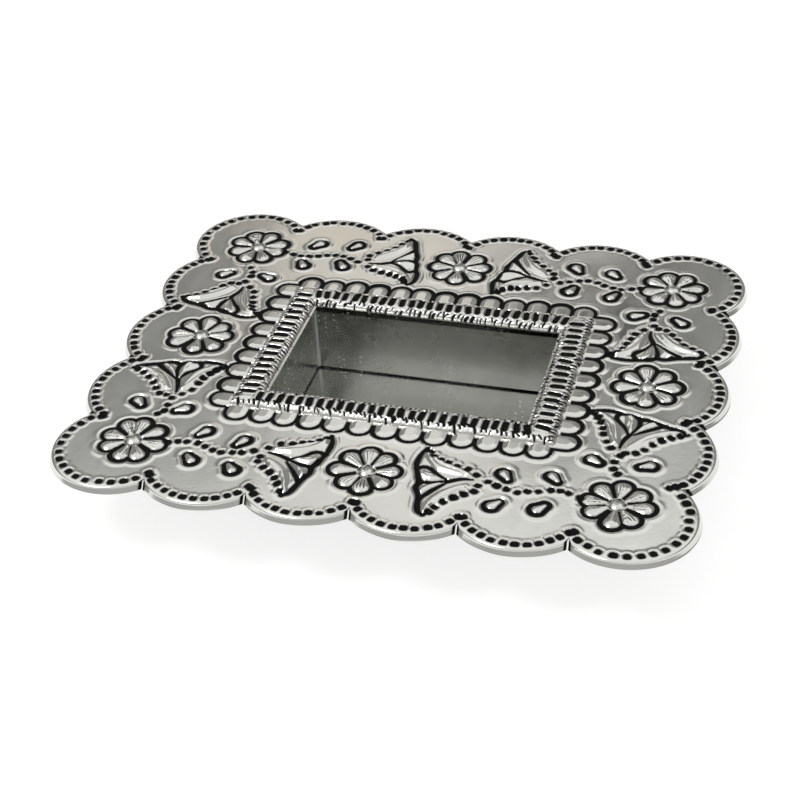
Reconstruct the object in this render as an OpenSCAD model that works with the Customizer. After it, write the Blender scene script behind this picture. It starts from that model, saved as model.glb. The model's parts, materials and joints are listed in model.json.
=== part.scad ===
// Tin nicho: a scalloped, embossed tin front soldered to a shallow tin case, with a glass pane
// behind the front's window and a hinged tin door at the back.
// It lies on its back with the front up. Millimetres. The origin is in the middle of the
// door's outer face, X runs along the long side and +Y is the top when it hangs on a wall.

/* [Scalloped outline] */
// Distance between two neighbouring notches of the edge
lobe_pitch = 32; // [28:0.5:36]
// Height of a lobe above the line between its two notches
lobe_rise = 8; // [6:0.5:10]
// Step in X and in Y from the last notch of one side to the first notch of the next
corner_step = 25.6; // [23:0.2:28]
// How far a corner lobe's centre lies outside the line between its two notches
corner_bulge = 2; // [1:0.2:4]

/* [Sheet and rim] */
// Thickness of the tin sheet
sheet_t = 0.4; // [0.3:0.05:0.6]
// Width of the flat edge outside the punched line
edge_margin = 2.4; // [1.8:0.1:3]
// Size of the bend between the flat edge and the rim
rim_bend = 0.7; // [0.4:0.1:1]
// Height of the turned-down rim
rim_h = 2.2; // [1.8:0.1:4]
// How far the rim flares out at its foot
rim_flare = 0.8; // [0.4:0.1:1.6]
// Width of the slit that parts the rim at each notch
slit_w = 1.6; // [0.8:0.1:2.5]

/* [Window border] */
// Width of the window
window_w = 84; // [76:0.5:88]
// Height of the window
window_h = 50.4; // [44:0.2:54]
// Flat lip between the window and the ribbed border
lip_w = 0.8; // [0.5:0.1:1.5]
// Width of the ribbed border
ridge_w = 9; // [7:0.2:10]
// Height of the ribbed border
ridge_h = 1.8; // [1:0.1:2.4]
// Slots along the long side of the border
slots_long = 27; // [21:2:31]
// Slots along the short side of the border
slots_short = 17; // [13:2:19]
// Width of a slot's cutter
slot_w = 1.7; // [1.2:0.1:2]
// Depth of a slot
slot_d = 0.35; // [0.2:0.05:0.5]
// Thickness of the metal under the ribs
ridge_t = 0.8; // [0.6:0.1:1]
// Scallops along the long side of the border
scallops_long = 13; // [11:2:15]
// Scallops along the short side of the border
scallops_short = 9; // [7:2:9]
// How far the scallops reach out from the ribbed border
scallop_reach = 7; // [6:0.2:8]
// Gap between two scallops
scallop_gap = 0.8; // [0.4:0.1:1.4]

/* [Embossing] */
// Height of the flat embossed shapes
emboss_h = 0.6; // [0.3:0.1:1]
// Height of a petal or seed
bud_h = 1.1; // [0.6:0.1:1.6]
// Distance of a flower's petals from its centre
petal_ring = 7.7; // [7:0.1:8.5]
// Radius of a petal's outer end
petal_r = 2.7; // [2:0.1:2.8]
// Radius of a flower's centre boss
boss_r = 1.9; // [1.4:0.1:2.4]
// Distance of the flowers from the line of the notches
flower_inset = 14.9; // [14:0.1:17]
// Radius of a seed's round end
seed_r = 2.3; // [1.8:0.1:2.6]
// Distance between the centres of a seed's two ends
seed_l = 2.6; // [2:0.1:3.2]
// Width of the grooves between a tulip's petals
groove_w = 1.1; // [0.6:0.1:1.6]

/* [Case] */
// Depth from the front of the plate to the inside of the door
case_depth = 27; // [22:0.5:34]
// Ledge that the window's edge leaves for the glass
glass_rebate = 1.9; // [1.4:0.1:2.6]
// Thickness of the glass
glass_t = 2; // [1.5:0.1:3]
// Gap round the glass
glass_gap = 0.4; // [0.2:0.1:0.8]
// Width of the flange that is soldered to the plate
flange_w = 12; // [11:0.5:15]
// Leg of the solder fillet in each corner of the case
fillet_leg = 0.9; // [0.6:0.1:1.5]
// Length of a solder tack on the flanges
tack_l = 8; // [5:0.5:12]
// Distance of the glass clips from the middle
clip_x = 22.6; // [15:0.2:30]
// Width of a glass clip
clip_w = 3; // [2:0.2:5]
// How far a glass clip reaches under the glass
clip_reach = 1.7; // [1.4:0.1:2.4]

/* [Door and hinges] */
// Gap between the door's lips and the case
lip_gap = 0.3; // [0.2:0.05:0.6]
// Height of the door's lips
lip_h = 5; // [3:0.5:7]
// Gap between the hinge leaf on the door and the edge of the case
leaf_gap = 0.4; // [0.3:0.05:0.8]
// Distance of the hinges from the middle
hinge_x = 24; // [18:0.5:32]
// Width of a hinge
hinge_w = 12; // [10:0.5:16]
// Length of the door's knuckle
knuckle_l = 4.6; // [4:0.2:6]
// Gap between two knuckles
knuckle_gap = 0.3; // [0.2:0.05:0.5]
// Diameter of the hinge wire
pin_d = 1.2; // [1:0.1:1.6]
// Radial play of the wire in the knuckles
pin_play = 0.05; // [0.03:0.01:0.08]
// Height of the hinge leaf on the case
leaf_h = 10; // [7:0.5:14]
// Length of the hinge leaf on the door
leaf_l = 10; // [7:0.5:14]

/* [Hanger] */
// Width of the hanging tab
hanger_w = 14; // [11:0.5:18]
// How far the tab stands out from the case
hanger_l = 14; // [12:0.5:18]
// Height of the leg that is soldered to the case
hanger_leg = 8; // [6:0.5:12]
// Thickness of the tab
hanger_t = 0.6; // [0.5:0.05:1]
// Diameter of the nail hole
nail_d = 5; // [4:0.2:6]

/* [Hidden] */
$fn = 48;
long_lobes = 4;
short_lobes = 3;
petals = 8;
// Outline
span_x = lobe_pitch * long_lobes / 2;
span_y = lobe_pitch * short_lobes / 2;
notch_x = span_x + corner_step;
notch_y = span_y + corner_step;
lobe_r = (lobe_pitch * lobe_pitch / 4 + lobe_rise * lobe_rise) / (2 * lobe_rise);
lobe_inset = lobe_r - lobe_rise;
corner_in = (corner_step + corner_bulge * sqrt(2)) / 2;
corner_x = span_x + corner_in;
corner_y = span_y + corner_in;
corner_r = sqrt(corner_step * corner_step / 2 + corner_bulge * corner_bulge);
long_x = [for (i = [0 : long_lobes - 1]) (i + 0.5) * lobe_pitch - span_x];
short_y = [for (i = [0 : short_lobes - 1]) (i + 0.5) * lobe_pitch - span_y];
// Levels
door_t = sheet_t;
leaf_t = sheet_t;
plate_z = door_t + case_depth;
under_z = plate_z - sheet_t;
case_z0 = door_t + leaf_t + leaf_gap;
glass_z0 = under_z - glass_t;
// Case
inner_x = window_w / 2 + glass_rebate;
inner_y = window_h / 2 + glass_rebate;
outer_x = inner_x + sheet_t;
outer_y = inner_y + sheet_t;
// Window border
ridge_r = (ridge_w * ridge_w / 4 + ridge_h * ridge_h) / (2 * ridge_h);
ridge_z = plate_z + ridge_h - ridge_r;
ridge_x = window_w / 2 + lip_w + ridge_w / 2;
ridge_y = window_h / 2 + lip_w + ridge_w / 2;
slot_l = ridge_w * 0.56;
slot_z = plate_z + ridge_h - slot_d + slot_w / 2;
border_x = ridge_x + ridge_w / 2;
border_y = ridge_y + ridge_w / 2;
// Motifs
flower_x = notch_x - flower_inset;
flower_y = notch_y - flower_inset;
// Hinge
knuckle_in = pin_d / 2 + pin_play;
knuckle_out = knuckle_in + leaf_t;
axis_y = -(outer_y + knuckle_out + lip_gap);
axis_z = door_t + knuckle_out;
eps = 0.01;

// Copies of a shape mirrored into all four quarters
module four_ways() {
  for (sx = [0, 1], sy = [0, 1])
    mirror([sx, 0, 0]) mirror([0, sy, 0]) children();
}

// One lobe of the plate as a turned shape, smaller all round by inset
module lobe(r, inset) {
  top = plate_z - inset;
  edge = r + edge_margin - inset;
  foot = plate_z - rim_h - (inset > 0 ? eps : 0);
  rotate_extrude()
    polygon([
      [0, foot],
      [edge + rim_flare, foot],
      [edge, top - rim_bend],
      [edge - rim_bend * 0.3, top - rim_bend * 0.3],
      [edge - rim_bend, top],
      [0, top]
    ]);
}

// Every lobe, with the middle of the plate filled in
module lobes(inset) {
  for (x = long_x, s = [-1, 1])
    translate([x, s * (notch_y - lobe_inset), 0]) lobe(lobe_r, inset);
  for (y = short_y, s = [-1, 1])
    translate([s * (notch_x - lobe_inset), y, 0]) lobe(lobe_r, inset);
  for (sx = [-1, 1], sy = [-1, 1])
    translate([sx * corner_x, sy * corner_y, 0]) lobe(corner_r, inset);
  foot = plate_z - rim_h - (inset > 0 ? eps : 0);
  mid_x = notch_x - lobe_inset;
  mid_y = notch_y - lobe_inset;
  translate([0, 0, foot])
    linear_extrude(plate_z - inset - foot)
      polygon([
        [long_x[0], -mid_y], [long_x[3], -mid_y], [corner_x, -corner_y],
        [mid_x, short_y[0]], [mid_x, short_y[2]], [corner_x, corner_y],
        [long_x[3], mid_y], [long_x[0], mid_y], [-corner_x, corner_y],
        [-mid_x, short_y[2]], [-mid_x, short_y[0]], [-corner_x, -corner_y]
      ]);
}

// Slits that let the rim turn down at the notches
module rim_slits() {
  slit_h = rim_h - rim_bend;
  reach = edge_margin + rim_flare + 4;
  for (i = [1 : long_lobes - 1], s = [0, 1])
    mirror([0, s, 0])
      translate([i * lobe_pitch - span_x - slit_w / 2, notch_y + edge_margin / 2, plate_z - rim_h - eps])
        cube([slit_w, reach, slit_h]);
  for (i = [1 : short_lobes - 1], s = [0, 1])
    mirror([s, 0, 0])
      translate([notch_x + edge_margin / 2, i * lobe_pitch - span_y - slit_w / 2, plate_z - rim_h - eps])
        cube([reach, slit_w, slit_h]);
  four_ways() {
    translate([span_x, notch_y, plate_z - rim_h - eps]) rotate([0, 0, 90])
      translate([edge_margin / 2, -slit_w / 2, 0]) cube([reach, slit_w, slit_h]);
    translate([notch_x, span_y, plate_z - rim_h - eps])
      translate([edge_margin / 2, -slit_w / 2, 0]) cube([reach, slit_w, slit_h]);
  }
}

// Rounded frame round the window, of the given radius about the border's middle line
module ridge(r) {
  for (s = [-1, 1]) {
    translate([-ridge_x, s * ridge_y, ridge_z]) rotate([0, 90, 0]) cylinder(h = 2 * ridge_x, r = r);
    translate([s * ridge_x, ridge_y, ridge_z]) rotate([90, 0, 0]) cylinder(h = 2 * ridge_y, r = r);
    for (t = [-1, 1]) translate([s * ridge_x, t * ridge_y, ridge_z]) sphere(r);
  }
}

// Slots pressed across the border
module ridge_slots() {
  for (i = [0 : slots_long - 1], s = [-1, 1])
    translate([(i - (slots_long - 1) / 2) * 2 * ridge_x / (slots_long + 1), s * ridge_y, slot_z])
      rotate([90, 0, 0]) cylinder(h = slot_l, d = slot_w, center = true);
  for (i = [0 : slots_short - 1], s = [-1, 1])
    translate([s * ridge_x, (i - (slots_short - 1) / 2) * 2 * ridge_y / (slots_short + 1), slot_z])
      rotate([0, 90, 0]) cylinder(h = slot_l, d = slot_w, center = true);
}

// One scallop pointing to +Y from the border's edge
module scallop(w) {
  r = (w - scallop_gap) / 2;
  translate([0, scallop_reach - r]) circle(r);
  translate([-r, 0]) square([2 * r, scallop_reach - r]);
}

// Row of scallops all round the border
module scallops() {
  pitch_x = 2 * border_x / scallops_long;
  pitch_y = 2 * border_y / scallops_short;
  translate([0, 0, plate_z - eps]) linear_extrude(emboss_h) {
    for (i = [0 : scallops_long - 1], s = [0, 1])
      mirror([0, s]) translate([(i + 0.5) * pitch_x - border_x, border_y]) scallop(pitch_x);
    for (i = [0 : scallops_short - 1], s = [0, 1])
      mirror([s, 0]) translate([border_x, (i + 0.5) * pitch_y - border_y]) rotate(-90) scallop(pitch_y);
  }
}

// Low dome on the plate with the given foot radius
module dome(r, h) {
  ball = (r * r + h * h) / (2 * h);
  translate([0, 0, plate_z + h - ball]) sphere(ball);
}

// Teardrop along +X: a round end at the origin and a narrow end at distance l
module bud(r, l) {
  dome(r, bud_h);
  translate([l, 0, 0]) dome(r * 0.6, bud_h * 0.7);
}

// Seed centred on the origin, with its narrow end towards the given direction
module seed(direction) {
  rotate([0, 0, direction]) translate([-seed_l / 2, 0, 0]) bud(seed_r, seed_l);
}

// Flower of eight petals round a centre boss
module flower() {
  for (i = [0 : petals - 1])
    rotate([0, 0, (i + 0.5) * 360 / petals]) translate([petal_ring, 0, 0])
      rotate([0, 0, 180]) bud(petal_r, petal_r);
  dome(boss_r, bud_h);
}

// Straight groove between two points of a tulip
module petal_groove(a, b) {
  d = b - a;
  translate(a) rotate(atan2(d[1], d[0])) translate([0, -groove_w / 2]) square([norm(d), groove_w]);
}

// Tulip with its stem at the origin, opening to +X, with the longer horn on the +Y side
module tulip() {
  fork = [8.5, -1.5];
  translate([0, 0, plate_z - eps]) linear_extrude(emboss_h)
    difference() {
      polygon([
        [0, 0], [1.5, 3.4], [5, 5.4], [10, 6.6], [14.5, 8.4], [18.3, 12.5], [19.4, 8], [18.8, 2.5],
        [17, -3.3], [15.6, -10], [13.8, -15], [11.8, -18.2], [10, -14], [7, -10], [3, -6.6], [0.3, -3.6]
      ]);
      petal_groove(fork, [20, 4]);
      petal_groove(fork, [18, -3.6]);
      petal_groove(fork, [16, -11.5]);
    }
}

// Motifs of one quarter of the plate, set out from the corner flower
module quarter_motifs() {
  translate([flower_x, flower_y, 0]) {
    flower();
    translate([-21, 5.7, 0]) seed(310);
    translate([-34.6, 7.3, 0]) seed(310);
    translate([-20, -8.4, 0]) seed(57);
    translate([-33.6, -6.5, 0]) seed(57);
    translate([5.7, -19.8, 0]) seed(148);
    translate([-9.9, -18.8, 0]) seed(25);
    translate([-41.7, -1.6, 0]) rotate([0, 0, 180]) tulip();
    translate([-3, -24.8, 0]) rotate([0, 0, -90]) mirror([0, 1, 0]) tulip();
  }
}

module front_plate() {
  color("silver")
    difference() {
      union() {
        difference() {
          lobes(0);
          lobes(sheet_t);
          rim_slits();
        }
        intersection() {
          ridge(ridge_r);
          translate([-notch_x, -notch_y, under_z]) cube([2 * notch_x, 2 * notch_y, case_depth]);
        }
        intersection() {
          union() {
            four_ways() quarter_motifs();
            for (s = [-1, 1]) {
              translate([s * flower_x, 0, 0]) flower();
              translate([0, s * flower_y, 0]) flower();
            }
          }
          translate([-notch_x, -notch_y, plate_z - sheet_t / 2]) cube([2 * notch_x, 2 * notch_y, case_depth]);
        }
        scallops();
      }
      ridge(ridge_r - ridge_t);
      ridge_slots();
      translate([-window_w / 2, -window_h / 2, under_z - eps]) cube([window_w, window_h, case_depth]);
    }
}

module glass_pane() {
  w = 2 * (inner_x - glass_gap);
  h = 2 * (inner_y - glass_gap);
  color([0.8, 0.9, 0.9, 0.4]) translate([-w / 2, -h / 2, glass_z0]) cube([w, h, glass_t]);
}

// Wall strip along X on the +Y side, with its front flange turned outwards
module long_wall() {
  translate([-outer_x, inner_y, case_z0]) cube([2 * outer_x, sheet_t, under_z - case_z0]);
  translate([-outer_x, inner_y, under_z - sheet_t]) cube([2 * outer_x, sheet_t + flange_w, sheet_t]);
}

// Wall strip along Y on the +X side, fitted between the long walls
module short_wall() {
  translate([inner_x, -inner_y, case_z0]) cube([sheet_t, 2 * inner_y, under_z - case_z0]);
  translate([inner_x, -inner_y, under_z - sheet_t]) cube([sheet_t + flange_w, 2 * inner_y, sheet_t]);
}

module wall_top() {
  color("gainsboro") long_wall();
}

module wall_bottom() {
  color("gainsboro") mirror([0, 1, 0]) long_wall();
}

module wall_right() {
  color("lightgray") short_wall();
}

module wall_left() {
  color("lightgray") mirror([1, 0, 0]) short_wall();
}

// Hollow-faced solder run in each inner corner of the case, below the glass
module corner_solder() {
  color("darkgray")
    four_ways()
      translate([inner_x - fillet_leg, inner_y - fillet_leg, case_z0])
        difference() {
          cube([fillet_leg, fillet_leg, glass_z0 - sheet_t - case_z0]);
          translate([0, 0, -eps]) cylinder(h = case_depth, r = fillet_leg - 0.2);
        }
}

// Solder tacks along the outer edges of the flanges
module flange_solder() {
  out_x = outer_x + flange_w;
  out_y = outer_y + flange_w;
  color("darkgray") {
    for (x = [-1, 1], s = [0, 1])
      mirror([0, s, 0]) translate([x * hinge_x - tack_l / 2, out_y, under_z])
        rotate([0, 90, 0]) linear_extrude(tack_l) polygon([[0, 0], [sheet_t, 0], [0, 1.4]]);
    for (y = [-1, 1], s = [0, 1])
      mirror([s, 0, 0]) translate([out_x, y * inner_y / 2 + tack_l / 2, under_z])
        rotate([90, 0, 0]) linear_extrude(tack_l) polygon([[0, 0], [0, -sheet_t], [1.4, 0]]);
  }
}

// Small tin angles that hold the glass against the back of the plate
module glass_clips() {
  color("gray")
    for (x = [-1, 1], s = [0, 1])
      mirror([0, s, 0]) translate([x * clip_x - clip_w / 2, 0, glass_z0 - sheet_t]) {
        translate([0, inner_y - clip_reach, 0]) cube([clip_w, clip_reach, sheet_t]);
        translate([0, inner_y - sheet_t, -clip_reach]) cube([clip_w, sheet_t, clip_reach + eps]);
      }
}

// Bent tab with a nail hole, above the lip of the door
module hanger_tab() {
  z0 = lip_h + 1;
  color("gray") {
    translate([-hanger_w / 2, outer_y, z0]) cube([hanger_w, hanger_t, hanger_leg]);
    difference() {
      translate([0, outer_y, z0]) linear_extrude(hanger_t) {
        translate([-hanger_w / 2, 0]) square([hanger_w, hanger_l - hanger_w / 2]);
        translate([0, hanger_l - hanger_w / 2]) circle(hanger_w / 2);
      }
      translate([0, outer_y + hanger_l - hanger_w / 2, z0 - eps]) cylinder(h = 2 * hanger_t, d = nail_d);
    }
  }
}

// Rolled knuckle of length l round the hinge axis, starting at x
module knuckle(x, l) {
  translate([x, axis_y, axis_z]) rotate([0, 90, 0])
    difference() {
      cylinder(h = l, r = knuckle_out);
      translate([0, 0, -eps]) cylinder(h = l + 2 * eps, r = knuckle_in);
    }
}

// Hinge leaf on the case, with the two outer knuckles
module case_leaf() {
  outer_l = (hinge_w - knuckle_l) / 2 - knuckle_gap;
  notch_w = hinge_w - 2 * outer_l;
  turn_z = axis_z + knuckle_in;
  difference() {
    translate([-hinge_w / 2, -outer_y - leaf_t, turn_z]) cube([hinge_w, leaf_t, leaf_h]);
    translate([-notch_w / 2, -outer_y - 2 * leaf_t, turn_z - eps]) cube([notch_w, 3 * leaf_t, 3 * leaf_t]);
  }
  for (x = [-hinge_w / 2, hinge_w / 2 - outer_l]) {
    translate([x, axis_y, turn_z]) cube([outer_l, -axis_y - outer_y, leaf_t]);
    knuckle(x, outer_l);
  }
}

// Hinge leaf on the inside of the door, with the middle knuckle
module leaf_on_door() {
  translate([-knuckle_l / 2, axis_y, door_t]) cube([knuckle_l, leaf_l, leaf_t]);
  translate([-hinge_w / 2, -outer_y + lip_gap, door_t]) cube([hinge_w, leaf_l, leaf_t]);
  knuckle(-knuckle_l / 2, knuckle_l);
}

module wire_pin() {
  translate([-hinge_w / 2 - pin_d / 2, axis_y, axis_z]) rotate([0, 90, 0])
    cylinder(h = hinge_w + pin_d, d = pin_d);
}

module hinge_leaf_left() {
  color("gray") translate([-hinge_x, 0, 0]) case_leaf();
}

module hinge_leaf_right() {
  color("gray") translate([hinge_x, 0, 0]) case_leaf();
}

module hinge_pin_left() {
  color("dimgray") translate([-hinge_x, 0, 0]) wire_pin();
}

module hinge_pin_right() {
  color("dimgray") translate([hinge_x, 0, 0]) wire_pin();
}

module door_leaf_left() {
  color("gray") translate([-hinge_x, 0, 0]) leaf_on_door();
}

module door_leaf_right() {
  color("gray") translate([hinge_x, 0, 0]) leaf_on_door();
}

// Door with lips turned up on the three sides away from the hinges
module back_door() {
  lip_x = outer_x + lip_gap;
  lip_y = outer_y + lip_gap;
  color("gainsboro") {
    translate([-lip_x - door_t, -outer_y, 0]) cube([2 * (lip_x + door_t), outer_y + lip_y + door_t, door_t]);
    translate([-lip_x - door_t, lip_y, 0]) cube([2 * (lip_x + door_t), door_t, lip_h]);
    for (s = [0, 1])
      mirror([s, 0, 0]) translate([lip_x, -outer_y + lip_gap, 0])
        cube([door_t, outer_y + lip_y - lip_gap + door_t, lip_h]);
  }
}

front_plate();
glass_pane();
wall_top();
wall_bottom();
wall_left();
wall_right();
corner_solder();
flange_solder();
glass_clips();
hanger_tab();
hinge_leaf_left();
hinge_leaf_right();
hinge_pin_left();
hinge_pin_right();
back_door();
door_leaf_left();
door_leaf_right();
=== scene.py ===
import json
import math

import bpy
import numpy as np
from mathutils import Matrix, Vector


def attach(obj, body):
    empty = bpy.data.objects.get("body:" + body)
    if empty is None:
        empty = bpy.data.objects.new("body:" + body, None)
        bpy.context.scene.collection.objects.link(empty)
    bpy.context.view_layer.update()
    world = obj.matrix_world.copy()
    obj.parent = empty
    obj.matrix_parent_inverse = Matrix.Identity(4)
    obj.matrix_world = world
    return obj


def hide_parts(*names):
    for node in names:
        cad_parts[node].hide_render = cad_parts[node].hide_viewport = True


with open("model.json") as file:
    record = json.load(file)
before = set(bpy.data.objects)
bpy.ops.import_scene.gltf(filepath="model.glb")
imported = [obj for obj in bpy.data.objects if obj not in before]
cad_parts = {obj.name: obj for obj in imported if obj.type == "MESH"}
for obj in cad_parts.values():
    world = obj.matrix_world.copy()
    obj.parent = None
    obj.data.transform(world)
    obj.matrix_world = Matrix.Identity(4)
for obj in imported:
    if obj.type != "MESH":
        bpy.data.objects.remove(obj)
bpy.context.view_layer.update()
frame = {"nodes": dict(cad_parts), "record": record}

rng = np.random.default_rng(8635)

# Sizes of the front plate in millimetres; the sheet stays inside the CAD plate's box
PLANE_Z = 27.4
SHEET = 0.4
WINDOW = np.array([42.0, 25.2])
LIP = 0.8
RIDGE_W = 9.0
RIDGE_H = 1.72
BORDER = WINDOW + LIP + RIDGE_W
LOBE_R = 20.0
LOBE_PITCH = 32.0
LOBE_X, LOBE_Y = 77.6, 61.6
CORNER = np.array([78.2, 62.2])
CORNER_R = 18.21
EDGE = 2.4
BEND_W = 1.0
BEND_H = 0.65
RIM_H = 2.2
FLARE = 0.77
SLIT = 0.25
# Painted shadow: the rim is blackened this far from each notch slit, where the shade under the plate shows
# through
NOTCH_SHADE = 0.9
FLOWER_X, FLOWER_Y = 74.8, 58.7
# Highest relief that stays inside the CAD box
MAX_RELIEF = 1.79
# Range of a random phase, close to a full turn
ABOUT_A_TURN = 6.28

# Relief canvas: height and black patina on a fine grid over the plate
CELL = 0.1
HALF_X, HALF_Y = 103.0, 87.0
gx = np.arange(-HALF_X, HALF_X + CELL / 2, CELL)
gy = np.arange(-HALF_Y, HALF_Y + CELL / 2, CELL)
relief = np.zeros((gy.size, gx.size))
patina = np.zeros_like(relief)
# Width over which the patina's edge field runs from none to full
INK_RAMP = 1.0


def patch(x0, x1, y0, y1):
    i0, i1 = np.searchsorted(gx, [x0, x1])
    j0, j1 = np.searchsorted(gy, [y0, y1])
    part = np.s_[j0:j1, i0:i1]
    return part, gx[None, i0:i1], gy[j0:j1, None]


def smooth(low, high, value):
    t = np.clip((value - low) / (high - low), 0, 1)
    return t * t * (3 - 2 * t)


def ink(part, gap):
    """Blackens where the signed distance gap is negative."""
    field = np.clip(0.5 - gap / INK_RAMP, 0, 1)
    patina[part] = np.maximum(patina[part], field)


def curve(points, steps=7):
    """A smooth line through the points (Catmull-Rom)."""
    p = np.asarray(points, float)
    p = np.vstack([2 * p[0] - p[1], p, 2 * p[-1] - p[-2]])
    t = np.linspace(0, 1, steps, endpoint=False)[:, None]
    rows = []
    for a, b, c, d in zip(p[:-3], p[1:-2], p[2:-1], p[3:]):
        square = (2 * a - 5 * b + 4 * c - d) * t**2
        cube = (3 * b - a - 3 * c + d) * t**3
        rows.append(0.5 * (2 * b + (c - a) * t + square + cube))
    return np.vstack(rows + [p[-2][None]])


def line_gap(points, widths, reach):
    """Signed distance to a line whose half width changes along it, on the patch around it."""
    pts = np.asarray(points, float)
    half = np.interp(np.linspace(0, 1, len(pts)), np.linspace(0, 1, len(widths)), widths)
    low, high = pts.min(0) - reach, pts.max(0) + reach
    part, X, Y = patch(low[0], high[0], low[1], high[1])
    gap = np.full(relief[part].shape, 99.0)
    for a, b, ha, hb in zip(pts[:-1], pts[1:], half[:-1], half[1:]):
        d = b - a
        t = np.clip(((X - a[0]) * d[0] + (Y - a[1]) * d[1]) / max(d @ d, 1e-9), 0, 1)
        away = np.hypot(X - a[0] - t * d[0], Y - a[1] - t * d[1])
        gap = np.minimum(gap, away - ha - t * (hb - ha))
    return part, gap


def groove(points, widths, depth, black=True, halo=0.0):
    part, gap = line_gap(curve(points), widths, 4.0)
    relief[part] -= depth * smooth(0.35, -0.5, gap)
    relief[part] += halo * np.exp(-(((gap - 0.9) / 0.6) ** 2))
    if black:
        ink(part, gap)


def swell(points, widths, height):
    part, gap = line_gap(curve(points), widths, 4.0)
    relief[part] = np.maximum(relief[part], height * smooth(0.2, -1.4, gap))


def punch(x, y, size, angle=0.0, stretch=1.0, depth=0.5):
    """A squarish dent with a black bottom and a raised edge."""
    part, X, Y = patch(x - 4, x + 4, y - 4, y + 4)
    c, s = math.cos(angle), math.sin(angle)
    u = np.abs((X - x) * c + (Y - y) * s) / (size * stretch)
    v = np.abs((Y - y) * c - (X - x) * s) / size
    gap = ((u**2.7 + v**2.7) ** (1 / 2.7) - 1) * size
    relief[part] += 0.08 * np.exp(-(((gap - 0.6) / 0.5) ** 2)) - depth * smooth(0.3, -0.7, gap)
    ink(part, gap)


def teardrop(X, Y, x, y, angle, tail, tail_r, head, head_r):
    """Signed distance to a drop along angle, from tail to head."""
    c, s = math.cos(angle), math.sin(angle)
    u = (X - x) * c + (Y - y) * s
    v = (Y - y) * c - (X - x) * s
    t = np.clip((u - tail) / (head - tail), 0, 1)
    return np.hypot(u - tail - t * (head - tail), v) - tail_r - t * (head_r - tail_r), u, v


PETALS = 8
PETAL_TAIL, PETAL_TAIL_R = 3.2, 0.75
PETAL_HEAD, PETAL_HEAD_R = 7.75, 2.5
PETAL_H = 0.9
STREAKS = (-0.95, -0.1, 0.8)
BOSS_R, BOSS_H = 2.1, 0.85


def flower(x, y, turn):
    """Eight domed petals round a boss, parted by broad black grooves."""
    part, X, Y = patch(x - 14, x + 14, y - 14, y + 14)
    rad = np.hypot(X - x, Y - y)
    shape = rad.shape
    nearest = np.full(shape, 99.0)
    groove_w = np.full(shape, 1.5)
    streak = np.zeros(shape)
    lean = np.ones(shape)
    for k in range(PETALS):
        angle = turn + k * 2 * math.pi / PETALS + rng.normal(0, 0.06)
        head = PETAL_HEAD + rng.normal(0, 0.25)
        head_r = PETAL_HEAD_R + rng.normal(0, 0.1)
        gap, u, v = teardrop(X, Y, x, y, angle, PETAL_TAIL, PETAL_TAIL_R, head, head_r)
        mine = gap < nearest
        nearest = np.where(mine, gap, nearest)
        groove_w = np.where(mine, rng.uniform(1.2, 1.8), groove_w)
        fan = v / (0.25 + 0.11 * u)
        lines = np.maximum.reduce([
            np.exp(-(((fan - f - 0.12 * np.sin(0.8 * u + f)) / 0.16) ** 2)) for f in STREAKS
        ])
        lines = lines * smooth(3.4, 5.0, u) * smooth(9.4, 8.0, u) * smooth(-0.1, -0.6, gap)
        streak = np.where(mine, lines * rng.uniform(0.6, 1.4), streak)
        lean = np.where(mine, 1 + rng.normal(0, 0.1) * v + rng.normal(0, 0.05) * (u - 6), lean)
    dome = PETAL_H * np.clip(lean, 0.5, 1.3) * np.sqrt(np.clip(-nearest / 2.2, 0, 1)) - 0.24 * streak
    relief[part] = np.maximum(relief[part], dome)
    valley = smooth(0.0, 0.5, nearest) * smooth(1.9, 1.2, nearest) * smooth(2.0, 3.2, rad)
    relief[part] += 0.1 * np.exp(-(((nearest - 2.5) / 0.7) ** 2)) - 0.3 * valley
    ink(part, np.maximum.reduce([-nearest - 0.05, nearest - groove_w, 3.0 - rad]))
    patina[part] = np.maximum(patina[part], 0.7 * streak * smooth(0.25, 0.8, streak))
    boss = BOSS_H * np.sqrt(np.clip(1 - (rad / BOSS_R) ** 2, 0, 1))
    relief[part] = np.maximum(relief[part], boss)
    ink(part, np.abs(rad - 0.55) - 0.12)
    heart = np.sin(5 * np.arctan2(Y - y, X - x) + turn) * 0.45
    ink(part, np.abs(rad - 2.45) - 0.15 - 0.3 * heart)


SEED_TAIL, SEED_TAIL_R = -0.9, 1.6
SEED_HEAD, SEED_HEAD_R = 1.9, 0.75
SEED_H = 0.75


def seed(x, y, angle):
    """A raised drop in a black ring; the narrow end points along angle."""
    part, X, Y = patch(x - 8, x + 8, y - 8, y + 8)
    wide = rng.normal(0, 0.1)
    gap, u, v = teardrop(X, Y, x, y, angle, SEED_TAIL, SEED_TAIL_R + wide, SEED_HEAD, SEED_HEAD_R)
    relief[part] = np.maximum(relief[part], SEED_H * np.sqrt(np.clip(-gap / SEED_TAIL_R, 0, 1)))
    relief[part] -= 0.35 * smooth(0.0, 0.4, gap) * smooth(1.7, 1.1, gap)
    relief[part] += 0.15 * np.exp(-(((gap - 2.2) / 0.7) ** 2))
    lean = 0.25 * np.sin(np.arctan2(v, u) + rng.uniform(0, ABOUT_A_TURN))
    ink(part, np.maximum(-gap - 0.1, gap - rng.uniform(1.2, 1.6) - lean))


def place(points, origin, u_axis, v_axis):
    pts = np.asarray(points, float)
    return origin + pts[:, :1] * u_axis + pts[:, 1:] * v_axis


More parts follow.
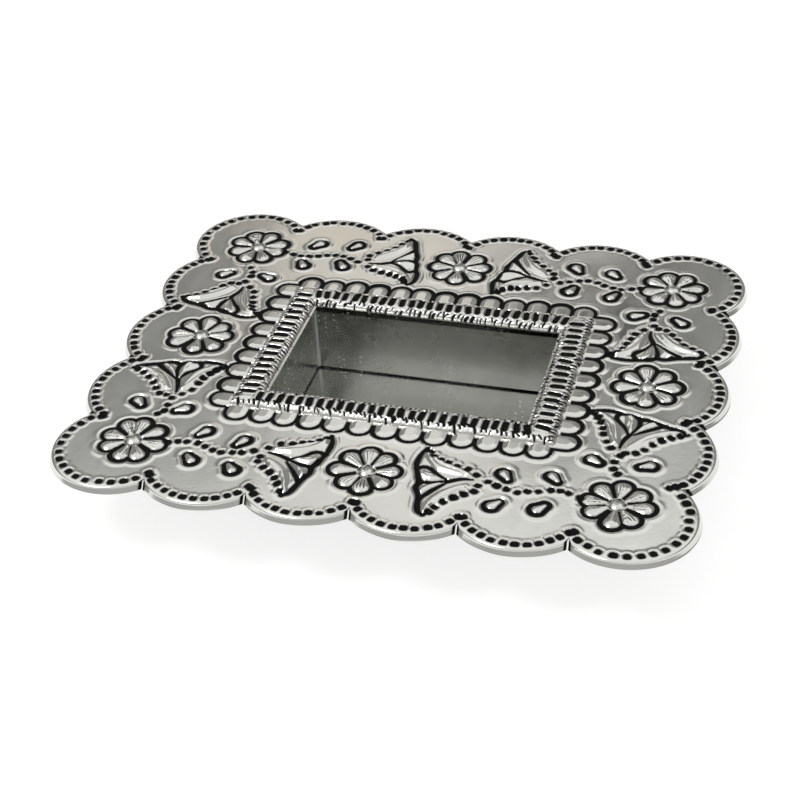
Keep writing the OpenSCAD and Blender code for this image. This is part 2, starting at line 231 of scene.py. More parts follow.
TULIP_H = 0.75
TULIP_HORNS = [
    ([(1, 3.2), (3.9, 5.5), (7.4, 6.3), (10.3, 7.3), (13, 8.3), (15.3, 9.4), (17, 11)], (18.3, 12.5)),
    ([(-0.5, -1.5), (0, -4.2), (2.3, -6.4), (5, -8.6), (7.5, -11), (9.3, -13.6), (10.8, -16.2)], (11.8, -18)),
]
TULIP_BODIES = [
    ([(3.5, 2.6), (8, 3.6), (12, 4.9), (15.8, 7.6), (17.8, 10.8)], [1.2, 2.1, 2.5, 1.9, 0.7]),
    ([(2.8, -2.6), (5, -5.0), (8.2, -8.0), (10.7, -11.8), (12, -16)], [1.2, 2.1, 2.3, 1.8, 0.7]),
    ([(10.8, -0.9), (14, -0.7), (16.9, 0.0)], [0.6, 1.6, 1.7]),
    ([(10.6, -3.0), (13.4, -5.4), (15.2, -7.8)], [0.6, 1.4, 1.2]),
]
TULIP_MOUTH = [
    (18.3, 12.5), (19.3, 9.5), (19.5, 5.5), (18.8, 2.5), (18, -1), (16.8, -3.2),
    (17, -6), (15.5, -9.8), (14.5, -13.5), (13.5, -16.5), (11.8, -18),
]
TULIP_LINES = [
    [(8.5, -1), (12, 1), (16, 4), (18.8, 3)],
    [(8.5, -1), (13, -3), (16.8, -3.3)],
    [(8.6, -2.2), (12, -6.5), (14.7, -10.3)],
    [(1.5, 0.8), (5, 0.3), (8.5, -1.2)],
]
TULIP_RIBS = [
    [(4.5, 2.6), (9, 4.1), (13, 5.8), (16.4, 9)],
    [(3.6, -4.2), (6.8, -7.4), (9.6, -11.2), (11.4, -15)],
    [(12.5, -0.6), (15.2, -0.3), (17.3, 0.6)],
]


def tulip(origin, u_axis, v_axis):
    origin, u_axis, v_axis = (np.asarray(a, float) for a in (origin, u_axis, v_axis))

    def put(points):
        moved = np.asarray(points) + rng.normal(0, 0.15, (len(points), 2))
        return place(moved, origin, u_axis, v_axis)

    for points, widths in TULIP_BODIES:
        swell(put(points), widths, TULIP_H)
    for points in TULIP_RIBS:
        groove(put(points), [0.1, 0.3, 0.1], 0.3, black=False, halo=0.1)
    for points in TULIP_LINES:
        groove(put(points), [0.4, 0.75, 0.9], 0.35)
    groove(put(TULIP_MOUTH), [0.6, 0.95, 0.75, 1.05, 0.85, 1.05, 0.6], 0.4, halo=0.08)
    for dots, tip in TULIP_HORNS:
        for x, y in put(dots):
            punch(x, y, rng.uniform(1.0, 1.22), rng.uniform(0, 3), rng.uniform(1.0, 1.2))
        groove(put([dots[-1], tip]), [0.5, 0.7], 0.3)


# Seeds of one quarter, from the corner flower: place and direction of the narrow end in degrees
SEEDS = [
    (-21, 5.7, 310), (-34.6, 7.3, 310), (-20, -8.4, 57),
    (-33.6, -6.5, 57), (5.7, -19.8, 148), (-9.9, -18.8, 25),
]
SHORT_STEM = [(72.7, 44.6), (71, 42.2), (71, 39), (71.7, 35.8)]
LONG_STEM_DOTS = 10
LONG_STEM_X = (64.0, 36.4)
LONG_STEM_Y = 57.6
LONG_STEM_SWING = 1.7
LONG_STEM_WAVE = 25.0
LONG_STEM_START = 39
LONG_STEM_DROP = -0.6


def quarter(sx, sy):
    """Stems, tulips and seeds of one quarter of the plate, mirrored by the signs."""
    side = np.array([sx, sy])
    for dx, dy, turn in SEEDS:
        a = math.radians(turn)
        x, y = side * (FLOWER_X + dx, FLOWER_Y + dy) + rng.normal(0, 0.35, 2)
        seed(x, y, math.atan2(sy * math.sin(a), sx * math.cos(a)) + rng.normal(0, 0.12))
    for k in range(LONG_STEM_DOTS):
        t = k / (LONG_STEM_DOTS - 1)
        x = LONG_STEM_X[0] + t * (LONG_STEM_X[1] - LONG_STEM_X[0])
        wave = math.sin(2 * math.pi * (x - LONG_STEM_START) / LONG_STEM_WAVE)
        y = LONG_STEM_Y + LONG_STEM_SWING * wave + t * LONG_STEM_DROP
        x, y = side * (x, y) + rng.normal(0, 0.2, 2)
        punch(x, y, rng.uniform(1.0, 1.25), rng.uniform(0, 3), rng.uniform(1.0, 1.2))
    for x, y in SHORT_STEM:
        x, y = side * (x, y) + rng.normal(0, 0.2, 2)
        punch(x, y, rng.uniform(1.0, 1.25), rng.uniform(0, 3), rng.uniform(1.0, 1.2))
    tulip(side * (33.3, 56.8), (-sx, 0), (0, -sy))
    tulip(side * (72.0, 33.6), (0, -sy), (-sx, 0))


def ring_offset(X, Y):
    """Distance outside the window's rectangle, with mitred corners."""
    return np.maximum(np.abs(X) - WINDOW[0], np.abs(Y) - WINDOW[1])


# Small scallops: number, pitch and the axis they run along
TONGUES = ((13, 8.0, 0), (9, 8.25, 1))
TONGUE_R = 3.25
TONGUE_REACH = 3.3
# Slots: axis they stand along, number and pitch
SLOTS = ((0, 27, 3.3), (1, 17, 3.62))
SLOT_HALF_LENGTH = 1.5
# Bead rows: distance from the window, size and slant
BEAD_ROWS = ((1.75, 0.62, -0.4), (8.65, 0.66, 0.4))
BEAD_PITCH = 1.65


def border():
    """The ribbed ridge round the window, its slots, its beads and the small scallops."""
    far = BORDER + 10
    part, X, Y = patch(-far[0], far[0], -far[1], far[1])
    o = ring_offset(X, Y)
    across = np.abs((o - LIP - RIDGE_W / 2) / (RIDGE_W / 2))
    ridge = RIDGE_H * np.sqrt(np.clip(1 - across**3.2, 0, 1))
    inside = o > 0
    relief[part] = np.where(inside, np.maximum(relief[part], ridge), relief[part])

    # Small scallops outside the ridge: one union of round-ended tongues
    gap = np.full(o.shape, 99.0)
    wide = np.full(o.shape, 1.2)
    for count, pitch, axis in TONGUES:
        along, over, base = (X, Y, BORDER[1]) if axis == 0 else (Y, X, BORDER[0])
        for k in range(count):
            middle = (k - (count - 1) / 2) * pitch
            for sign in (-1, 1):
                centre = middle + rng.normal(0, 0.2)
                reach = TONGUE_REACH + rng.normal(0, 0.2)
                t = np.clip(sign * over - base, -1, reach)
                d = np.hypot(along - centre, sign * over - base - t) - TONGUE_R
                mine = d < gap
                gap = np.where(mine, d, gap)
                wide = np.where(mine, rng.uniform(1.2, 1.75), wide)
    out = smooth(RIDGE_W + LIP - 0.4, RIDGE_W + LIP + 0.6, o)
    relief[part] = np.maximum(relief[part], out * 0.4 * smooth(0.1, -1.8, gap))
    relief[part] -= out * 0.3 * smooth(-0.1, 0.3, gap) * smooth(1.5, 0.8, gap)
    relief[part] += out * 0.26 * np.exp(-(((gap - 2.1) / 0.6) ** 2))
    ink(part, np.maximum.reduce([-gap - 0.05, gap - wide, RIDGE_W + LIP + 0.9 - o]))

    # Slots across the ridge and small slanting beads on both sides of them
    for axis, count, pitch in SLOTS:
        other = WINDOW[1 - axis] + LIP + RIDGE_W / 2 + 0.1
        reach = (count - 1) / 2 * pitch
        for sign in (-1, 1):
            for k in range(count):
                middle = -reach + k * pitch + rng.normal(0, 0.12)
                edge = abs(k - (count - 1) / 2) / ((count - 1) / 2)
                fan = np.sign(middle) * max(0.0, edge - 0.86) * 1.4
                ends = np.array([[middle - fan, -SLOT_HALF_LENGTH], [middle + fan, SLOT_HALF_LENGTH]])
                ends[:, 0] += rng.normal(0, 0.15, 2)
                ends[:, 1] = sign * (other + ends[:, 1] + rng.normal(0, 0.12))
                slot_line(ends if axis == 0 else ends[:, ::-1], rng.uniform(0.92, 1.14))
            for level, size, lean in BEAD_ROWS:
                span = WINDOW[axis] + level
                beads = int(2 * span / BEAD_PITCH)
                for k in range(beads):
                    along = -span + (k + 0.5) * 2 * span / beads + rng.normal(0, 0.2)
                    over = sign * (WINDOW[1 - axis] + level + rng.normal(0, 0.22))
                    x, y = (along, over) if axis == 0 else (over, along)
                    own_size = size * rng.uniform(0.75, 1.15)
                    slant = rng.normal(lean, 0.3) + (math.pi / 2 if axis == 0 else 0)
                    bead(x, y, own_size, slant)


def slot_line(ends, half):
    part, gap = line_gap(ends, [half, half], 4.0)
    relief[part] -= 0.55 * smooth(0.25, -0.6, gap)
    relief[part] += 0.1 * np.exp(-(((gap - 0.5) / 0.3) ** 2))
    ink(part, gap)


def bead(x, y, size, angle):
    """A small slanting bead with a dark line beside it."""
    part, X, Y = patch(x - 2, x + 2, y - 2, y + 2)
    c, s = math.cos(angle), math.sin(angle)
    u = ((X - x) * c + (Y - y) * s) / (1.75 * size)
    v = ((Y - y) * c - (X - x) * s) / size
    rad = np.hypot(u, v)
    relief[part] += rng.uniform(0.12, 0.27) * np.clip(1 - rad**2, 0, 1)
    line = np.exp(-(((v + 1.3) / rng.uniform(0.4, 0.75)) ** 2))
    shade = line * smooth(1.2, 0.7, np.abs(u + rng.normal(0, 0.3)))
    relief[part] -= 0.2 * shade
    patina[part] = np.maximum(patina[part], rng.uniform(0.7, 1.3) * shade)


# Lobes of the outline in order, counter-clockwise from the right side
lobes = []
for turn, sx, sy in ((0, 1, 1), (1, -1, 1), (2, -1, -1), (3, 1, -1)):
    steps = (-1, 0, 1) if turn % 2 == 0 else (-1.5, -0.5, 0.5, 1.5)
    for step in steps:
        along = step * LOBE_PITCH
        spot = [(LOBE_X, along), (-along, LOBE_Y), (-LOBE_X, -along), (along, -LOBE_Y)][turn]
        lobes.append((np.array(spot), LOBE_R))
    lobes.append((CORNER * (sx, sy), CORNER_R))


def lobe_ends(k, grow, slit):
    """Angles at which lobe k starts and ends when all lobes grow outwards, slit apart at the notches."""
    centre, r = lobes[k]
    r = r + grow
    ends = []
    for step, sign in ((-1, 1), (1, -1)):
        other, q = lobes[(k + step) % len(lobes)]
        q = q + grow
        d = other - centre
        apart = math.hypot(*d)
        p = (apart**2 + r**2 - q**2) / (2 * apart) - slit
        ends.append(math.atan2(d[1], d[0]) + sign * math.acos(p / r))
    return ends[0], ends[0] + (ends[1] - ends[0]) % (2 * math.pi)


def outline(grow, slit, share):
    """Points of the scalloped line, one row of points for each lobe."""
    rows = []
    for k, (centre, r) in enumerate(lobes):
        start, end = lobe_ends(k, grow, slit)
        a = start + share * (end - start)
        rows.append(centre + (r + grow) * np.stack([np.cos(a), np.sin(a)], 1))
    return np.array(rows)


SIDE_DOTS, CORNER_DOTS = 10, 15


def edge_dots():
    """The punched line along the lobes, with a larger mark at each notch."""
    for k, (centre, r) in enumerate(lobes):
        start, end = lobe_ends(k, 0.0, 0.0)
        count = SIDE_DOTS if r == LOBE_R else CORNER_DOTS
        for i in range(count):
            a = start + (end - start) * (i + 1.0 + rng.normal(0, 0.05)) / (count + 1)
            x, y = centre + (r + rng.normal(0, 0.2)) * np.array([math.cos(a), math.sin(a)])
            punch(x, y, rng.uniform(1.2, 1.42), a + math.pi / 2, rng.uniform(0.82, 1.02), 0.42)
        x, y = centre + (r - 0.6) * np.array([math.cos(start), math.sin(start)])
        inward = math.atan2(-y, -x)
        for lean in (-0.75, 0.75):
            px = x + lean * math.cos(inward + 1.2) + rng.normal(0, 0.2)
            py = y + lean * math.sin(inward + 1.2) + rng.normal(0, 0.2)
            punch(px, py, rng.uniform(1.15, 1.4), inward, 1.1, 0.5)


def soft_noise(wave, count):
    """Low waves over the plate, as hand-worked sheet has."""
    total = np.zeros_like(relief)
    for _ in range(count):
        a = rng.uniform(0, 2 * math.pi)
        k = 2 * math.pi / (wave * rng.uniform(0.7, 1.5))
        along = math.cos(a) * gx[None, :] + math.sin(a) * gy[:, None]
        total += np.sin(k * along + rng.uniform(0, ABOUT_A_TURN))
    return total / math.sqrt(count)


border()
for spot in ((FLOWER_X, FLOWER_Y), (-FLOWER_X, FLOWER_Y), (-FLOWER_X, -FLOWER_Y), (FLOWER_X, -FLOWER_Y)):
    flower(*spot, rng.uniform(0, 0.78))
for spot in ((FLOWER_X, 0.4), (-FLOWER_X, 0.4), (0, FLOWER_Y), (0, -FLOWER_Y)):
    flower(*spot, rng.uniform(0, 0.78))
for sx in (-1, 1):
    for sy in (-1, 1):
        quarter(sx, sy)
edge_dots()
WAVE_H, WAVE_LENGTH, WAVES = 0.022, 26.0, 9
relief += WAVE_H * soft_noise(WAVE_LENGTH, WAVES)


def blurred(field, cells):
    """Mean over a square of the field."""
    for axis in (0, 1):
        pad = [(0, 0), (0, 0)]
        pad[axis] = (cells + 1, cells)
        total = np.cumsum(np.pad(field, pad, mode="edge"), axis=axis)
        size = field.shape[axis]
        wide = 2 * cells + 1
        field = (np.take(total, range(wide, wide + size), axis) - np.take(total, range(size), axis)) / wide
    return field


def sampled(field, xy):
    """Bilinear reading of a canvas field at points."""
    u = np.clip((xy[..., 0] + HALF_X) / CELL, 0, gx.size - 1.001)
    v = np.clip((xy[..., 1] + HALF_Y) / CELL, 0, gy.size - 1.001)
    i, j = u.astype(int), v.astype(int)
    fu, fv = u - i, v - j
    low = field[j, i] * (1 - fu) + field[j, i + 1] * fu
    high = field[j + 1, i] * (1 - fu) + field[j + 1, i + 1] * fu
    return low * (1 - fv) + high * fv


SHARP_DEGREES = 62


def mesh_object(name, verts_mm, quads, fields):
    mesh = bpy.data.meshes.new(name)
    mesh.vertices.add(len(verts_mm))
    mesh.vertices.foreach_set("co", (verts_mm * 0.001).astype(np.float32).ravel())
    mesh.loops.add(quads.size)
    mesh.loops.foreach_set("vertex_index", quads.astype(np.int32).ravel())
    mesh.polygons.add(len(quads))
    mesh.polygons.foreach_set("loop_start", np.arange(0, quads.size, 4, dtype=np.int32))
    mesh.update(calc_edges=True)
    for key, values in fields.items():
        mesh.attributes.new(key, "FLOAT", "POINT").data.foreach_set("value", values.astype(np.float32))
    mesh.polygons.foreach_set("use_smooth", np.ones(len(quads), bool))
    mesh.set_sharp_from_angle(angle=math.radians(SHARP_DEGREES))
    obj = bpy.data.objects.new(name, mesh)
    bpy.context.scene.collection.objects.link(obj)
    return obj


# Mesh steps: along one lobe, over the ridge, field and back, round the bend and down the rim
COLUMNS = 132
RIDGE_ROWS = 72
FIELD_ROWS = 165
BACK_ROWS = 60
BEND_ROWS = 8
RIM_ROWS = 6
# The back stays flat over the case's flanges, this far out from the ridge
FLANGE_REACH = 7


def front_plate():
    share = np.linspace(0, 1, COLUMNS + 1)
    edge_start = EDGE - BEND_W
    line = outline(0.0, 0.0, share)
    rim_line = outline(edge_start, 0.0, share)
    corner_mid = np.abs(CORNER) + CORNER_R * math.sqrt(0.5)
    scale = line / corner_mid
    square = np.where(
        np.abs(scale[..., :1]) > np.abs(scale[..., 1:]),
        np.stack([np.sign(scale[..., 0]), np.clip(scale[..., 1], -1, 1)], -1),
        np.stack([np.clip(scale[..., 0], -1, 1), np.sign(scale[..., 1])], -1),
    )
    inner, middle = square * WINDOW, square * BORDER
    low = blurred(relief, 4)
    flat_under = PLANE_Z - SHEET
    rows, heights, patina_and_notch_shade = [], [], []

    def row(xy, z, mark):
        rows.append(xy)
        heights.append(z)
        patina_and_notch_shade.append(mark)

    def top_row(xy, keep=1.0):
        row(xy, PLANE_Z + keep * np.minimum(sampled(relief, xy), MAX_RELIEF), sampled(patina, xy))

    for t in np.linspace(0, 1, RIDGE_ROWS, endpoint=False):
        top_row(inner + t * (middle - inner))
    for t in np.linspace(0, 1, FIELD_ROWS, endpoint=False):
        top_row(middle + t * (rim_line - middle), smooth(1.0, 0.985, t))

    # Bend and rim, outside and inside, with the slits at the notches and a painted shadow on the rim beside
    # each slit
    tilt = math.atan2(RIM_H - BEND_H, FLARE)
    profile = []
    for t in np.linspace(0, 1, BEND_ROWS):
        a = t * math.pi / 2
        profile.append((edge_start + BEND_W * math.sin(a), -BEND_H * (1 - math.cos(a)), min(a, tilt)))
    for t in np.linspace(0, 1, RIM_ROWS)[1:]:
        profile.append((EDGE + FLARE * t, -BEND_H - (RIM_H - BEND_H) * t, tilt))
    first_rim = len(rows)
    shape = rim_line.shape[:2]
    wobble = np.array([
        0.25 * np.sin(3 * k + 5.0 * share) * np.sin(math.pi * share) for k in range(len(lobes))
    ])
    slits = [SLIT * min(1.0, i / 3) for i in range(len(profile))]
    lengths = np.array([
        [r * np.subtract(*lobe_ends(k, EDGE, 0.0)[::-1])] for k, (_, r) in enumerate(lobes)
    ])
    from_notch = np.minimum(share, 1 - share) * lengths
    for (grow, drop, _), slit in zip(profile, slits):
        lift = wobble * min(1.0, -drop / RIM_H)
        z = PLANE_Z + drop + np.maximum(lift, 0 if drop < -2 else -1)
        # Painted shadow on the outer rim beside each notch slit, carried in the patina field
        notch_shade_gap = from_notch - NOTCH_SHADE * slit / SLIT
        row(outline(grow, slit, share), z, np.clip(0.5 - notch_shade_gap / INK_RAMP, 0, 1))
    for (grow, drop, a), slit in zip(profile[::-1], slits[::-1]):
        lift = wobble * min(1.0, -drop / RIM_H)
        inset = SHEET * math.sin(a)
        lower = SHEET * math.cos(a)
        z = PLANE_Z + drop - lower + np.maximum(lift, lower if drop < -2 else -1)
        row(outline(grow - inset, slit, share), z, np.zeros(shape))

    def back_row(xy):
        z = PLANE_Z + np.minimum(sampled(low, xy), MAX_RELIEF) - SHEET
        over_flange = np.all(np.abs(xy) < BORDER + FLANGE_REACH, axis=-1)
        row(xy, np.where(over_flange, np.maximum(z, flat_under), z), np.zeros(shape))

    for t in np.linspace(0, 1, BACK_ROWS + 1, endpoint=False)[1:]:
        back_row(rim_line + t * (middle - rim_line))
    for t in np.linspace(0, 1, BACK_ROWS // 2):
        back_row(middle + t * (inner - middle))

    xy = np.array(rows)
    verts = np.concatenate([xy, np.array(heights)[..., None]], -1)
    count = len(rows)
    index = np.arange(count * shape[0] * shape[1]).reshape(count, *shape)
    here, after = index, np.roll(index, -1, axis=0)
    quads = np.stack([here[:, :, :-1], after[:, :, :-1], after[:, :, 1:], here[:, :, 1:]], -1).reshape(-1, 4)
    caps = []
    last = first_rim + len(profile) - 1
    for r in range(first_rim, last):
        mate, mate_next = 2 * last + 1 - r, 2 * last - r
        ring = (r, mate, mate_next, r + 1)
        caps.append(np.stack([index[i, :, 0] for i in ring], -1))
        caps.append(np.stack([index[i, :, -1] for i in (ring[0], *ring[:0:-1])], -1))
    quads = np.vstack([quads] + caps)
    flat = verts.reshape(-1, 3)
    _, first, back = np.unique(np.round(flat, 4), axis=0, return_index=True, return_inverse=True)
    fields = {"patina": np.array(patina_and_notch_shade).ravel()[first]}
    return mesh_object("embossed_front", flat[first], back.reshape(-1)[quads], fields)


plate = front_plate()
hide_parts("front_plate")
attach(plate, "case")


# Materials
BARE_TIN = ((0.49, 0.495, 0.475), (0.55, 0.555, 0.535))
# Painted shade: darker tin for the upper part and left side of the walls inside the case
PAINTED_WALL_SHADE = (0.41, 0.417, 0.39, 1)
# Painted shadow: near-black band at the top of the walls, under the window's edge
PAINTED_LIP_SHADOW = (0.012, 0.012, 0.011, 1)
# Painted shade: near-black strip on the door under the gap at the foot of the far wall
PAINTED_GAP_SHADE = (0.01, 0.01, 0.01, 1)
GRIME = (0.2, 0.2, 0.19, 1)
PATINA = (0.004, 0.004, 0.004, 1)
CLEAR = (0.93, 0.96, 0.95, 1)
DUST = (0.8, 0.8, 0.77, 1)


def shader(name):
    mat = bpy.data.materials.new(name)
    mat.use_nodes = True
    return mat, mat.node_tree, mat.node_tree.nodes["Principled BSDF"]


def add(tree, kind, props=None, **sockets):
    """A node with its properties, and its sockets set or linked by name."""
    made = tree.nodes.new("ShaderNode" + kind)
    for key, value in (props or {}).items():
        setattr(made, key, value)
    for key, value in sockets.items():
        name = key.replace("_", " ")
        socket = made.inputs[int(key[1:])] if key[1:].isdigit() else made.inputs[name]
        if isinstance(value, bpy.types.NodeSocket):
            tree.links.new(value, socket)
        else:
            socket.default_value = value
    return made


def ramp(tree, value, *stops):
    made = add(tree, "ValToRGB", Fac=value)
    band = made.color_ramp
    while len(band.elements) < len(stops):
        band.elements.new(0.5)
    for element, (place_at, colour) in zip(band.elements, stops):
        element.position = place_at
        element.color = (*colour, 1)
    return made.outputs["Color"]


def remap(tree, value, a, b, c, d, kind="SMOOTHSTEP"):
    made = add(tree, "MapRange", {"interpolation_type": kind}, Value=value)
    for key, number in zip(("From Min", "From Max", "To Min", "To Max"), (a, b, c, d)):
        made.inputs[key].default_value = number
    return made.outputs["Result"]


def mix(tree, factor, a, b):
    made = add(tree, "Mix", {"data_type": "RGBA"}, i0=factor, i6=a, i7=b)
    return made.outputs[2]


def noise(tree, scale, detail=3.0, rough=0.55, stretch=(1, 1, 1)):
    where = add(tree, "TexCoord").outputs["Object"]
    turned = add(tree, "Mapping", Vector=where, Scale=stretch).outputs["Vector"]
    return add(tree, "TexNoise", Vector=turned, Scale=scale, Detail=detail, Roughness=rough).outputs["Fac"]


def bump(tree, bsdf, height, strength, distance):
    made = add(tree, "Bump", Height=height, Strength=strength, Distance=distance)
    tree.links.new(made.outputs["Normal"], bsdf.inputs["Normal"])


def tin(name, dark, light, rough, grain):
    mat, tree, bsdf = shader(name)
    cloud = noise(tree, 55.0, 4.0)
    colour = ramp(tree, cloud, (0.3, dark), (0.7, light))
    smear = noise(tree, 160.0, 3.0, 0.6, (1, 0.35, 1))
    roughness = remap(tree, smear, 0.3, 0.72, rough[0], rough[1], "LINEAR")
    tree.links.new(colour, bsdf.inputs["Base Color"])
    tree.links.new(roughness, bsdf.inputs["Roughness"])
    bsdf.inputs["Metallic"].default_value = 1.0
    bump(tree, bsdf, noise(tree, 900.0, 2.0), grain, 0.0002)
    return mat, tree, bsdf, colour, roughness


def embossed_tin():
    mat, tree, bsdf, colour, roughness = tin(
        "embossed_tin", (0.63, 0.628, 0.605), (0.68, 0.678, 0.655), (0.12, 0.18), 0.04
    )
    bsdf.inputs["Specular IOR Level"].default_value = 0.05
    # The patina field holds the black antiquing, plus painted shadow on the rim beside the notch slits
    field = add(tree, "Attribute", {"attribute_name": "patina"}).outputs["Fac"]
    ragged = add(tree, "Math", {"operation": "MULTIPLY_ADD"}, i0=noise(tree, 1500.0, 2.0), i1=0.34, i2=field)
    black = remap(tree, ragged.outputs[0], 0.58, 0.76, 0.0, 1.0)
    grime = remap(tree, ragged.outputs[0], 0.22, 0.62, 0.0, 0.45)
    dulled = mix(tree, grime, colour, GRIME)
    tree.links.new(mix(tree, black, dulled, PATINA), bsdf.inputs["Base Color"])
    tree.links.new(remap(tree, black, 0, 1, 1.0, 0.0, "LINEAR"), bsdf.inputs["Metallic"])
    rough = add(tree, "Mix", i0=black, i2=roughness, i3=0.55).outputs[0]
    tree.links.new(rough, bsdf.inputs["Roughness"])
    return mat


def dusty_glass():
    """Clear pane that mirrors much less than real glass, as the photo shows, with dust specks."""
    mat, tree, bsdf = shader("window_glass")
    where = add(tree, "TexCoord").outputs["Object"]
    cells = add(tree, "TexVoronoi", {"voronoi_dimensions": "2D"}, Vector=where, Scale=430.0, Randomness=1.0)
    rare = add(tree, "SeparateColor", Color=cells.outputs["Color"]).outputs[0]
    dot = remap(tree, cells.outputs["Distance"], 0.05, 0.14, 1.0, 0.0)
    chosen = remap(tree, rare, 0.7, 0.85, 0.0, 1.0)
    patchy = remap(tree, noise(tree, 45.0), 0.45, 0.65, 0.15, 1.0)
    speck = add(tree, "Math", {"operation": "MULTIPLY"}, i0=dot, i1=chosen).outputs[0]
    speck = add(tree, "Math", {"operation": "MULTIPLY"}, i0=speck, i1=patchy).outputs[0]
    film = remap(tree, noise(tree, 25.0, 4.0), 0.4, 0.7, 0.0, 0.008)
    facing = add(tree, "LayerWeight", Blend=0.5).outputs["Facing"]
    edge = add(tree, "Math", {"operation": "POWER"}, i0=facing, i1=6.0).outputs[0]
    gloss = remap(tree, edge, 0.0, 1.0, 0.004, 0.6, "LINEAR")
    cover = add(tree, "Math", {"operation": "MULTIPLY_ADD"}, i0=speck, i1=0.5, i2=gloss).outputs[0]
    cover = add(tree, "Math", {"operation": "ADD", "use_clamp": True}, i0=cover, i1=film).outputs[0]
    tree.links.new(cover, bsdf.inputs["Alpha"])
    tree.links.new(remap(tree, speck, 0, 0.3, 1.0, 0.0), bsdf.inputs["Metallic"])
    tree.links.new(remap(tree, speck, 0, 0.3, 0.03, 0.9), bsdf.inputs["Roughness"])
    tree.links.new(mix(tree, speck, CLEAR, DUST), bsdf.inputs["Base Color"])
    return mat


def wall_tin(name, top):
    """Bare tin of the case with painted shade: darker above and at the left, and a near-black painted shadow
    band at the top; heights in metres.
    """
    mat, tree, bsdf, colour, _ = tin(name, *BARE_TIN, (0.2, 0.3), 0.05)
    spot = add(tree, "SeparateXYZ", Vector=add(tree, "TexCoord").outputs["Object"]).outputs
    # Painted shade: the walls darken above 5.5 to 11.5 mm and towards the left
    low = remap(tree, spot["Z"], 0.0055, 0.0115, 1.0, 0.0)
    right = remap(tree, spot["X"], -0.044, -0.015, 0.15, 1.0)
    unshaded = add(tree, "Math", {"operation": "MULTIPLY"}, i0=low, i1=right).outputs[0]
    shade = mix(tree, unshaded, PAINTED_WALL_SHADE, colour)
    # Painted shadow: near-black band at the top of each wall, under the window's edge
    lip_shadow = remap(tree, spot["Z"], *top, 0.0, 1.0)
    tree.links.new(mix(tree, lip_shadow, shade, PAINTED_LIP_SHADOW), bsdf.inputs["Base Color"])
    return mat


def door_tin():
    """Bright tin with a painted black line of shade, in metres, where the door meets the far wall."""
    mat, tree, bsdf, colour, _ = tin("door_tin", *BARE_TIN, (0.15, 0.24), 0.05)
    spot = add(tree, "SeparateXYZ", Vector=add(tree, "TexCoord").outputs["Object"]).outputs
    rise = remap(tree, spot["Y"], 0.0269, 0.0272, 0.0, 1.0)
    fall = remap(tree, spot["Y"], 0.0280, 0.0281, 1.0, 0.0)
    inner = remap(tree, spot["Z"], 0.0002, 0.0003, 0.0, 1.0)
    line = add(tree, "Math", {"operation": "MULTIPLY"}, i0=rise, i1=fall).outputs[0]
    line = add(tree, "Math", {"operation": "MULTIPLY"}, i0=line, i1=inner).outputs[0]
    # Painted shade: the strip under the gap between door and far wall is blackened
    tree.links.new(mix(tree, line, colour, PAINTED_GAP_SHADE), bsdf.inputs["Base Color"])
    return mat


plate.data.materials.append(embossed_tin())
finishes = {
    "plain_tin": tin("plain_tin", *BARE_TIN, (0.06, 0.15), 0.03)[0],
    "solder": tin("solder", (0.55, 0.55, 0.54), (0.72, 0.72, 0.71), (0.3, 0.45), 0.4)[0],
    "hinge_wire": tin("hinge_wire", (0.30, 0.29, 0.27), (0.46, 0.45, 0.43), (0.25, 0.45), 0.2)[0],
    "window_glass": dusty_glass(),
}
# Heights in metres of the painted shadow band at the top of each wall
far_wall = wall_tin("far_wall_tin", (0.0235, 0.0242))
side_wall = wall_tin("side_wall_tin", (0.0255, 0.0262))
inside = {"wall_top": far_wall, "wall_left": side_wall, "wall_right": side_wall, "wall_bottom": side_wall}
inside["back_door"] = door_tin()
for row in frame["record"]["subparts"]:
    if row["node"] == "front_plate":
        continue
    mesh = frame["nodes"][row["node"]].data
    mesh.materials.clear()
    mesh.materials.append(inside.get(row["node"], finishes[row["material_slot"]]))


# Floor: pale, and white to the camera where no shadow falls
FLOOR_HALF = 6.0
FLOOR_Z = -0.0002
FLOOR_GLOW = 0.72


def floor():
    mesh = bpy.data.meshes.new("floor")
    turns = ((-1, -1), (1, -1), (1, 1), (-1, 1))
    mesh.from_pydata([(FLOOR_HALF * x, FLOOR_HALF * y, FLOOR_Z) for x, y in turns], [], [(0, 1, 2, 3)])
    obj = bpy.data.objects.new("floor", mesh)
    bpy.context.scene.collection.objects.link(obj)
    mat, tree, bsdf = shader("pale_floor")
    out = tree.nodes["Material Output"]
    bsdf.inputs["Roughness"].default_value = 0.9
    bsdf.inputs["Specular IOR Level"].default_value = 0.0
    shade = ramp(tree, noise(tree, 3.0), (0.3, (0.80, 0.80, 0.80)), (0.7, (0.82, 0.82, 0.82)))
    tree.links.new(shade, bsdf.inputs["Base Color"])
    path = add(tree, "LightPath").outputs
    seen = add(
        tree, "Math", {"operation": "ADD"}, i0=path["Is Camera Ray"], i1=path["Is Glossy Ray"]
    ).outputs[0]
    seen = add(
        tree, "Math", {"operation": "ADD", "use_clamp": True}, i0=seen, i1=path["Is Transmission Ray"]
    ).outputs[0]
    pale = add(tree, "BsdfDiffuse", Color=(0.4, 0.4, 0.4, 1)).outputs[0]
    white = add(tree, "Emission", Color=(1, 1, 1, 1), Strength=FLOOR_GLOW).outputs[0]
    both = add(tree, "AddShader", i0=pale, i1=white).outputs[0]
    surface = add(tree, "MixShader", i0=seen, i1=bsdf.outputs[0], i2=both).outputs[0]
    tree.links.new(surface, out.inputs["Surface"])
    mesh.materials.append(mat)


floor()


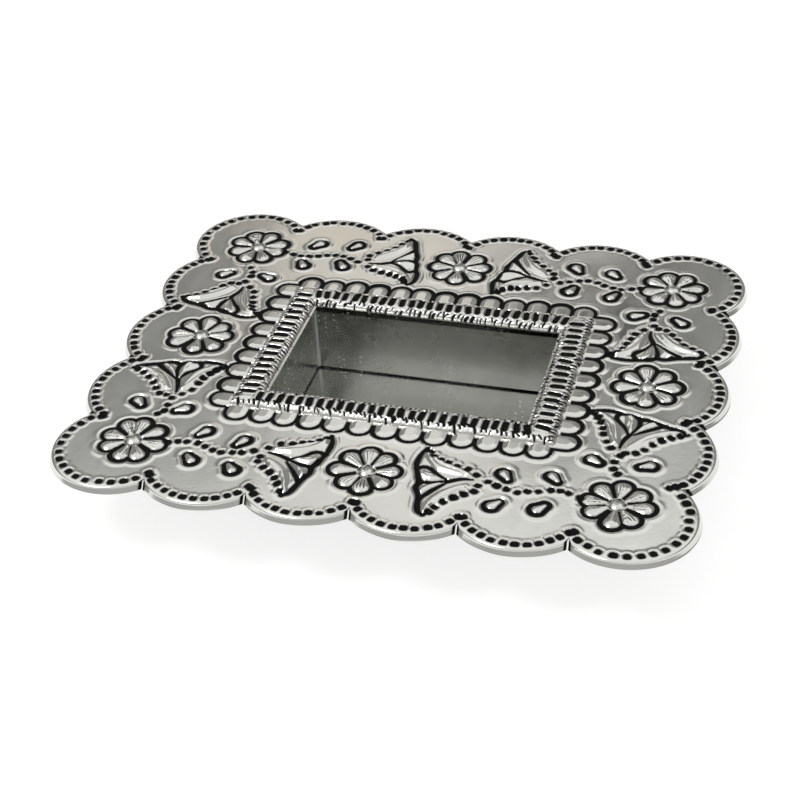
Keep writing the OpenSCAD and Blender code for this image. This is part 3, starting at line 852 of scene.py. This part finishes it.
# Studio: a soft room that brightens upwards and towards the camera, with a tall light panel,
# a grey one and a dark one; azimuths (from +Y towards -X), elevations and softness in degrees
def studio():
    world = bpy.data.worlds.new("studio")
    bpy.context.scene.world = world
    world.use_nodes = True
    tree = world.node_tree
    way = add(tree, "TexCoord").outputs["Generated"]
    parts = add(tree, "SeparateXYZ", Vector=way).outputs
    height = parts["Z"]
    left = add(tree, "Math", {"operation": "MULTIPLY"}, i0=parts["X"], i1=-1.0).outputs[0]
    azimuth = add(tree, "Math", {"operation": "ARCTAN2"}, i0=left, i1=parts["Y"]).outputs[0]
    elevation = add(tree, "Math", {"operation": "ARCSINE"}, i0=height).outputs[0]

    def band(value, low, high, soft):
        low, high, soft = (math.radians(v) for v in (low, high, soft))
        rise = remap(tree, value, low - soft, low + soft, 0.0, 1.0)
        fall = remap(tree, value, high - soft, high + soft, 1.0, 0.0)
        return add(tree, "Math", {"operation": "MULTIPLY"}, i0=rise, i1=fall).outputs[0]

    def panel(sky, azimuths, elevations, soft, colour):
        across, along = band(azimuth, *azimuths, soft), band(elevation, *elevations, soft)
        inside = add(tree, "Math", {"operation": "MULTIPLY"}, i0=across, i1=along).outputs[0]
        return mix(tree, inside, sky, colour)

    sky = ramp(
        tree, height,
        (0.0, (0.34, 0.34, 0.33)), (0.592, (0.295, 0.295, 0.285)), (0.617, (0.6, 0.6, 0.585)),
        (0.64, (1.15, 1.16, 1.13)), (1.0, (1.0, 1.0, 1.0)),
    )
    glow = ramp(tree, height, (0.5, (0.88, 0.80, 0.69)), (0.55, (1.0, 0.99, 0.96)))
    sky = panel(sky, (13.2, 22.0), (20, 42), 1.1, glow)
    sky = panel(sky, (7.5, 14), (20, 31.3), 0.9, (0.78, 0.77, 0.74, 1))
    sky = panel(sky, (6.2, 12.6), (31.7, 36.2), 0.8, (0.01, 0.01, 0.01, 1))
    front = remap(tree, parts["Y"], -0.45, 0.15, 1.0, 0.0)
    near_side = ramp(
        tree, height,
        (0.0, (0.5, 0.5, 0.49)), (0.38, (0.55, 0.55, 0.54)), (0.55, (1.0, 1.0, 0.98)),
    )
    sky = mix(tree, front, sky, near_side)
    tree.links.new(sky, tree.nodes["Background"].inputs["Color"])


studio()


def lamp(name, place_at, target, size, power):
    data = bpy.data.lights.new(name, "AREA")
    data.shape = "DISK"
    data.size = size
    data.energy = power
    obj = bpy.data.objects.new(name, data)
    aim = Matrix.Translation(place_at)
    back = np.array(place_at, float) - target
    quat = Vector(back).to_track_quat("Z", "Y")
    obj.matrix_world = aim @ quat.to_matrix().to_4x4()
    bpy.context.scene.collection.objects.link(obj)


lamp("key", place_at=(-0.5, -0.35, 1.1), target=(0, 0, 0.02), size=0.5, power=6.0)

# Camera at the photograph's angle
SENSOR_MM = 36.0
LENS_MM = 75.63
camera_data = bpy.data.cameras.new("camera")
camera_data.sensor_width = SENSOR_MM
camera_data.lens = LENS_MM
camera = bpy.data.objects.new("camera", camera_data)
camera.matrix_world = Matrix((
    (0.9633, -0.1188, 0.2408, 0.1254),
    (0.2645, 0.5737, -0.7752, -0.4275),
    (-0.0460, 0.8104, 0.5840, 0.3340),
    (0, 0, 0, 1),
))
bpy.context.scene.collection.objects.link(camera)
bpy.context.scene.camera = camera
bpy.context.scene.view_settings.view_transform = "Standard"
